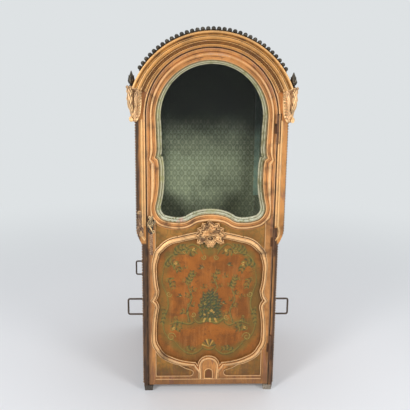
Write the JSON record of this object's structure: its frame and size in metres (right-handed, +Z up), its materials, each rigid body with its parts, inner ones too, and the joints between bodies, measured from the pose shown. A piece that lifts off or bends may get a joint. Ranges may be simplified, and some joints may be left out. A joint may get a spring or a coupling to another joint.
{
  "type": "sedan chair",
  "caption": "Closed carried chair with a hinged arched door, vaulted roof, glazed windows, seat and side staples for carrying poles.",
  "frame": {"origin": "on the floor, under the middle of the chair", "axes": "+X towards the door's hinges, -Y the front with the door, +Z up"},
  "size_m": [0.806, 0.91, 1.7515],
  "materials": {
    "gilt_wood": "worn gilding over red-brown ground",
    "painted_wood": "painted and varnished, worn",
    "bare_wood": "dark, dry",
    "green_paint": "flaking sage green paint",
    "damask": "faded green damask",
    "leather": "dark, dull",
    "iron": "forged, dark brown-black",
    "bronze": "blackened bronze",
    "pane": "clear, slightly wavy"
  },
  "bodies": {
    "chair": {"base_frame": "bare_wood", "consoles": "gilt_wood", "cornice_front": "gilt_wood", "cornice_rear": "gilt_wood", "elbow_rail_left": "painted_wood", "elbow_rail_right": "painted_wood", "feet": "bare_wood", "finials": "bronze", "floor_board": "bare_wood", "head_front": "gilt_wood", "head_rear": "gilt_wood", "hinge_posts": "iron", "lining_back": "damask", "lining_ceiling": "damask", "lining_left": "damask", "lining_right": "damask", "lower_panel_left": "painted_wood", "lower_panel_right": "painted_wood", "panel_bead_left": "gilt_wood", "panel_bead_right": "gilt_wood", "pole_staples_left": "iron", "pole_staples_right": "iron", "post_front_left": "gilt_wood", "post_front_right": "gilt_wood", "post_rear_left": "gilt_wood", "post_rear_right": "gilt_wood", "rear_beads": "gilt_wood", "rear_panel_lower": "painted_wood", "rear_panel_upper": "painted_wood", "roof_knobs": "bronze", "roof_shell": "leather", "seat_board": "bare_wood", "seat_cushion": "damask", "seat_front": "bare_wood", "side_cornice_left": "gilt_wood", "side_cornice_right": "gilt_wood", "side_glass_left": "pane", "side_glass_right": "pane", "upper_panel_left": "painted_wood", "upper_panel_right": "painted_wood", "window_bead_left": "gilt_wood", "window_bead_right": "gilt_wood", "window_trim_left": "green_paint", "window_trim_right": "green_paint"},
    "door": {"door_frame": "gilt_wood", "door_panel": "painted_wood", "door_shell": "gilt_wood", "panel_moulding": "gilt_wood", "window_moulding": "gilt_wood", "door_trim": "green_paint", "door_glass": "pane", "lock_plate": "iron", "door_handle": "bronze", "hinge_leaves": "iron"}
  },
  "joints": [
    {"name": "door_hinge", "type": "hinge", "parent": "chair", "child": "door", "pos_m": [0.29725, -0.414, 0.85], "axis": [0, 0, 1], "range_deg": [0, 110]}
  ]
}
